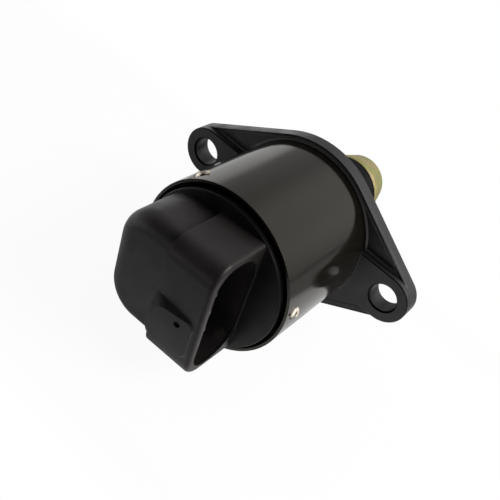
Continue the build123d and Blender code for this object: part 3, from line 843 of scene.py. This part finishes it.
class VALVE_OT_finish_motor(bpy.types.Operator):
    """Finish the stator, coils, rotor, bearings and terminals, and draw the threaded screw"""
    bl_idname = "valve.finish_motor"
    bl_label = "Finish Motor"

    def execute(self, context):
        sizes = context.scene.valve_sizes
        colours = context.scene.valve_colours
        turned = turned_steel(colours)
        coat(["front_stator_cup", "front_pole_plate", "rear_pole_plate", "rear_stator_cup"],
             rolled_steel(colours))
        coat(["front_bobbin", "rear_bobbin", "rotor_nut", "guide_bush"], natural_plastic(colours))
        coat(["front_winding", "rear_winding"], coil_copper(colours))
        coat(["front_bush", "rear_bush"], sintered_bronze(colours))
        coat(["front_thrust_washer", "rear_thrust_washer"], turned)
        coat(["rotor_magnet"], ferrite(colours))
        coat([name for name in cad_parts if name.startswith("terminal_")], tinned_brass(colours))
        low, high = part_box("lead_screw")
        screw = screw_growth().grow(
            "threaded_screw", turned, crest=sizes.screw_crest, depth=sizes.thread_depth,
            pitch=sizes.screw_pitch, low=low.y, start=sizes.shaft_start, high=high.y, shaft=high.x,
            flat=high.z)
        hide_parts("lead_screw")
        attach(screw, "plunger")
        return {"FINISHED"}


class VALVE_OT_dress_nose(bpy.types.Operator):
    """Finish the pintle and the seals, and draw the round spring and pilot seal"""
    bl_idname = "valve.dress_nose"
    bl_label = "Dress Nose"

    def execute(self, context):
        sizes = context.scene.valve_sizes
        colours = context.scene.valve_colours
        rubber = seal_rubber(colours)
        coat(["pintle"], chromate(colours))
        coat(["cap_seal"], rubber)
        low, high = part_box("pintle_spring")
        spring = spring_growth().grow(
            "round_spring", turned_steel(colours), wire=sizes.spring_wire, turns=sizes.spring_turns,
            radius=high.x - sizes.spring_wire / 2, low=low.y, high=high.y)
        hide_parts("pintle_spring")
        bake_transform(spring)
        low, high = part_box("pilot_o_ring")
        seal = seal_growth().grow(
            "round_seal", rubber, section=sizes.seal_section, radius=high.x - sizes.seal_section / 2,
            middle=(low.y + high.y) / 2)
        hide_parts("pilot_o_ring")
        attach(seal, "housing")
        return {"FINISHED"}


SENSOR_WIDTH = 36.0
CLIP_START = 0.01
WHITE = (1.0, 1.0, 1.0, 1.0)
GLOW_REACH = (0.78, 0.99)              # cosines between which a side of the tent fades
SIDE_REACH = (0.975, 0.997)
SHADE_REACH = (0.50, 0.90)


class VALVE_OT_set_stage(bpy.types.Operator):
    """Set the camera, the pale floor and the soft light"""
    bl_idname = "valve.set_stage"
    bl_label = "Set Stage"

    def execute(self, context):
        studio = context.scene.valve_studio
        context.scene.view_settings.view_transform = "Standard"
        self.set_camera(context.scene, studio)
        self.lay_floor(context.scene, studio)
        self.pitch_tent(context.scene, studio)
        self.hang_key(context.scene, studio)
        return {"FINISHED"}

    def set_camera(self, scene, studio):
        """Camera at the photograph's viewing angle."""
        camera = bpy.data.cameras.new("camera")
        camera.lens = studio.lens
        camera.sensor_width = SENSOR_WIDTH
        camera.clip_start = CLIP_START
        holder = bpy.data.objects.new("camera", camera)
        tilt = math.pi / 2 - studio.elevation
        turn = Matrix.Rotation(studio.azimuth, 4, "Z") @ Matrix.Rotation(tilt, 4, "X")
        turn = turn @ Matrix.Rotation(studio.roll, 4, "Z")
        holder.matrix_world = (
            Matrix.Translation(studio.aim) @ turn @ Matrix.Translation((0.0, 0.0, studio.distance)))
        scene.collection.objects.link(holder)
        scene.camera = holder

    def lay_floor(self, scene, studio):
        """Pale floor that keeps a faint shadow."""
        half = studio.floor_size / 2
        drop = cad_box[0].z
        mesh = bpy.data.meshes.new("floor")
        corners = [(-half, -half, drop), (half, -half, drop), (half, half, drop), (-half, half, drop)]
        mesh.from_pydata(corners, [], [(0, 1, 2, 3)])
        mesh.materials.append(self.pale_floor(studio))
        floor = bpy.data.objects.new("floor", mesh)
        scene.collection.objects.link(floor)

    def pale_floor(self, studio):
        """Matt floor, near white to the camera, which gloss mirrors as a lit sheet on a darker ground."""
        finish = Finish("pale_floor", studio.floor_colour, roughness=0.7)
        near, far = self.sheet(finish, studio)
        lit = finish.math("MAXIMUM", near, far)
        finish.put("Base Color", finish.tones(lit, (0.0, studio.floor_shade), (1.0, studio.floor_colour)))
        path = finish.add("ShaderNodeLightPath").outputs
        seen = finish.math("MAXIMUM", path["Is Camera Ray"], path["Is Transmission Ray"])
        seen = finish.math("MULTIPLY", seen, finish.spread(near, 1.0, studio.floor_white, start=0.0, end=1.0))
        mirrored = finish.math("MAXIMUM", far, finish.math("MULTIPLY", near, studio.floor_mirrored))
        mirrored = finish.math("MULTIPLY", path["Is Glossy Ray"], mirrored)
        mix = finish.add("ShaderNodeMixShader", {
            0: finish.math("MAXIMUM", seen, mirrored), 1: finish.shader.outputs["BSDF"],
            2: finish.add("ShaderNodeEmission").outputs["Emission"]})
        finish.feed(finish.output.inputs["Surface"], mix.outputs["Shader"])
        return finish.material

    def sheet(self, finish, studio):
        """Masks of the lit sheet under the valve and of the white floor far to its left."""
        away = finish.math("ABSOLUTE", finish.math("SUBTRACT", finish.along("Y"), studio.sheet_middle))
        near = finish.spread(
            away, 1.0, 0.0, start=studio.sheet_half, end=studio.sheet_half + studio.sheet_edge)
        far = finish.spread(
            finish.along("X"), 1.0, 0.0, start=-studio.sheet_farther, end=-studio.sheet_far)
        return near, far

    def pitch_tent(self, scene, studio):
        """Light tent, bright behind and left of the valve and dark above the camera."""
        world = bpy.data.worlds.new("tent")
        world.use_nodes = True
        tent = NodeTree(world.node_tree)
        tent.tree.nodes.clear()
        full = studio.tent_light + studio.glow_light
        bright = self.tent_side(tent, studio.glow_from, GLOW_REACH, studio.tent_light, full)
        left = self.tent_side(tent, studio.side_from, SIDE_REACH, 0.0, studio.side_light)
        dim = studio.shade_light / studio.tent_light
        dark = self.tent_side(tent, studio.shade_from, SHADE_REACH, 1.0, dim)
        background = tent.add("ShaderNodeBackground", {
            "Color": WHITE, "Strength": tent.math("MULTIPLY", tent.math("ADD", bright, left), dark)})
        tent.add("ShaderNodeOutputWorld", {"Surface": background.outputs["Background"]})
        scene.world = world

    def tent_side(self, tent, side, reach, outer, inner):
        """Soft change of the tent's light towards one side, between two cosines of the angle to it."""
        way = tent.add("ShaderNodeTexCoord").outputs["Generated"]
        cosine = tent.add(
            "ShaderNodeVectorMath", {0: way, 1: Vector(side).normalized()}, operation="DOT_PRODUCT")
        change = tent.add("ShaderNodeMapRange", {
            "Value": cosine.outputs["Value"], "From Min": reach[0], "From Max": reach[1], "To Min": outer,
            "To Max": inner}, interpolation_type="SMOOTHSTEP")
        return change.outputs["Result"]

    def hang_key(self, scene, studio):
        """Soft square key lamp that faces the valve."""
        lamp = bpy.data.lights.new("key_lamp", "AREA")
        lamp.size = studio.key_size
        lamp.energy = studio.key_power
        holder = bpy.data.objects.new("key_lamp", lamp)
        way = Vector(studio.key_from).normalized()
        holder.location = Vector(studio.aim) + studio.key_distance * way
        holder.rotation_euler = (-way).to_track_quat("-Z", "Y").to_euler()
        scene.collection.objects.link(holder)


class VALVE_PT_panel(bpy.types.Panel):
    """Steps and settings of the valve"""
    bl_idname = "VALVE_PT_panel"
    bl_label = "Idle Air Control Valve"
    bl_space_type = "VIEW_3D"
    bl_region_type = "UI"
    bl_category = "Valve"

    def draw(self, context):
        for step in STEPS:
            self.layout.operator(step.bl_idname)
        for name, group in GROUPS.items():
            box = self.layout.box()
            for key in group.__annotations__:
                box.prop(getattr(context.scene, name), key)


GROUPS = {"valve_sizes": ValveSizes, "valve_colours": ValveColours, "valve_studio": ValveStudio}
STEPS = (VALVE_OT_coat_housing, VALVE_OT_finish_motor, VALVE_OT_dress_nose, VALVE_OT_set_stage)


def register():
    """Registers the classes and hangs their settings on the scene."""
    for item in (*GROUPS.values(), *STEPS, VALVE_PT_panel):
        bpy.utils.register_class(item)
    for key, group in GROUPS.items():
        setattr(bpy.types.Scene, key, PointerProperty(type=group))


def unregister():
    """Takes the settings and classes away again."""
    for key in GROUPS:
        delattr(bpy.types.Scene, key)
    for item in (VALVE_PT_panel, *reversed(STEPS), *reversed(GROUPS.values())):
        bpy.utils.unregister_class(item)


def main():
    """Runs every step."""
    register()
    bpy.ops.valve.coat_housing()
    bpy.ops.valve.finish_motor()
    bpy.ops.valve.dress_nose()
    bpy.ops.valve.set_stage()


if __name__ == "__main__":
    main()
